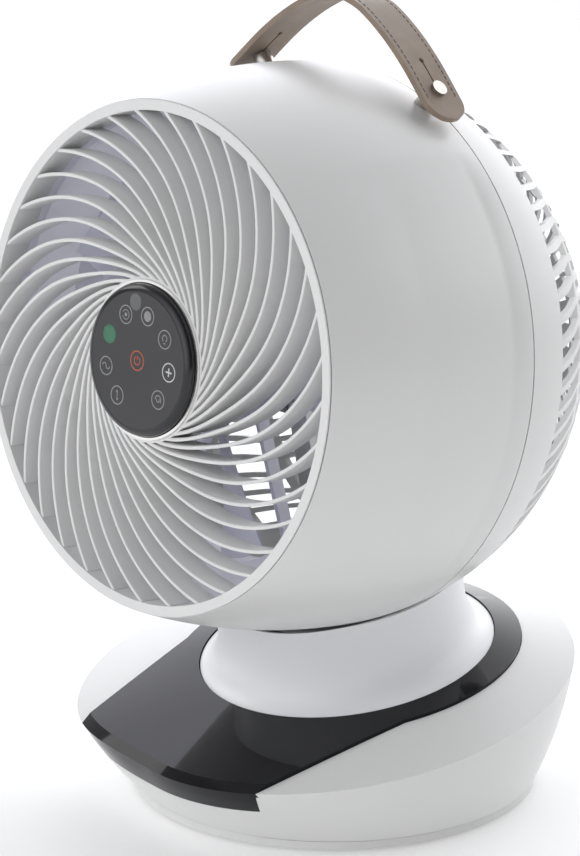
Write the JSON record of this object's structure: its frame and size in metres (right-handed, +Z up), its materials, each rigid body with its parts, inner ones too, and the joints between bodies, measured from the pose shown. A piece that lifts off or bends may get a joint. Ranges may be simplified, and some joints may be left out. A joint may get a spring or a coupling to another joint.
{
  "type": "air circulator fan",
  "caption": "Desk air circulator: ball-shaped head in a tilting, swivelling neck cup on a sloped round base, with a lift-off round remote, leather strap and touch panel.",
  "frame": {"origin": "on the surface it stands on, under the middle of the whole body's box, 6.83 mm in front of the round foot's centre", "axes": "+Z up; the control panel and the outlet face -Y; X runs across the fan, along the tilt axis"},
  "size_m": [0.35, 0.3242, 0.5109],
  "materials": {
    "white_shell": "satin gloss white",
    "neck_white": "satin gloss white",
    "grille_white": "fine matte white",
    "duct_grey": "matte pale grey",
    "blade_grey": "smoked grey",
    "panel_black": "piano black",
    "remote_black": "gloss black",
    "remote_face": "satin charcoal film",
    "window_dark": "dark red translucent",
    "trim_chrome": "warm bright chrome",
    "strap_leather": "taupe pebbled leather",
    "stud_steel": "polished",
    "steel": "zinc plated",
    "motor_steel": "dark grey paint",
    "frame_plastic": "black moulding",
    "gear_pom": "natural acetal",
    "board_green": "solder mask",
    "foot_rubber": "matte",
    "magnet_nickel": "nickel plated"
  },
  "bodies": {
    "base": {"base_shell": "white_shell", "control_panel": "panel_black", "bottom_plate": "white_shell", "ballast_plate": "steel", "pan_support": "frame_plastic", "power_board": "board_green", "touch_board": "board_green", "dc_inlet": "frame_plastic", "base_screws": "steel", "rubber_feet": "foot_rubber", "pan_bearing": "gear_pom", "pan_bushing": "gear_pom", "pan_motor": "motor_steel"},
    "neck": {"neck_shell": "neck_white", "turntable": "steel", "pan_gear": "gear_pom", "pan_spindle": "steel", "spindle_nut": "steel", "tilt_post": "steel", "pin_bushing": "gear_pom", "tilt_motor": "motor_steel", "slot_cover": "white_shell", "neck_screws": "steel"},
    "pan_pinion": {"pan_pinion": "gear_pom"},
    "tilt_pinion": {"tilt_pinion": "gear_pom"},
    "head": {"front_shell": "white_shell", "rear_shell": "white_shell", "front_grille": "grille_white", "dock_trim": "trim_chrome", "dock_magnet": "magnet_nickel", "air_duct": "duct_grey", "fan_motor": "motor_steel", "tilt_bracket": "steel", "tilt_pin": "steel", "tilt_sector_gear": "gear_pom", "bracket_screws": "steel", "strap": "strap_leather", "strap_studs": "stud_steel"},
    "impeller": {"motor_shaft": "steel", "impeller": "blade_grey", "impeller_nut": "frame_plastic"},
    "remote": {"remote_case": "remote_black", "remote_face": "remote_face", "remote_window": "window_dark", "remote_battery_door": "remote_black", "remote_keeper": "steel", "remote_battery": "steel", "remote_board": "board_green", "remote_battery_cradle": "frame_plastic"}
  },
  "joints": [
    {"name": "pan", "type": "hinge", "parent": "base", "child": "neck", "pos_m": [0, 0.01884, 0.08258], "axis": [0, -0.1822, 0.9833], "range_deg": [-37.5, 37.5]},
    {"name": "pan_pinion_spin", "type": "hinge", "parent": "base", "child": "pan_pinion", "pos_m": [0, 0.06123, 0.08433], "axis": [0, -0.1822, 0.9833], "range_deg": [-230, 230]},
    {"name": "tilt", "type": "hinge", "parent": "neck", "child": "head", "pos_m": [0, -0.02016, 0.293], "axis": [-1, 0, 0], "range_deg": [-7, 33]},
    {"name": "tilt_pinion_spin", "type": "hinge", "parent": "neck", "child": "tilt_pinion", "pos_m": [0.017, -0.0136, 0.2576], "axis": [-1, 0, 0], "range_deg": [-170, 40]},
    {"name": "impeller_spin", "type": "hinge", "parent": "head", "child": "impeller", "pos_m": [0, -0.09063, 0.30165], "axis": [0, -0.9925, 0.1219], "continuous": true},
    {"name": "remote_lift", "type": "slide", "parent": "head", "child": "remote", "axis": [0, -0.9925, 0.1219], "range_m": [0, 0.06]}
  ],
  "couplings": [
    {"joint": "pan_pinion_spin", "follows": "pan", "ratio": -6},
    {"joint": "tilt_pinion_spin", "follows": "tilt", "ratio": -5}
  ]
}
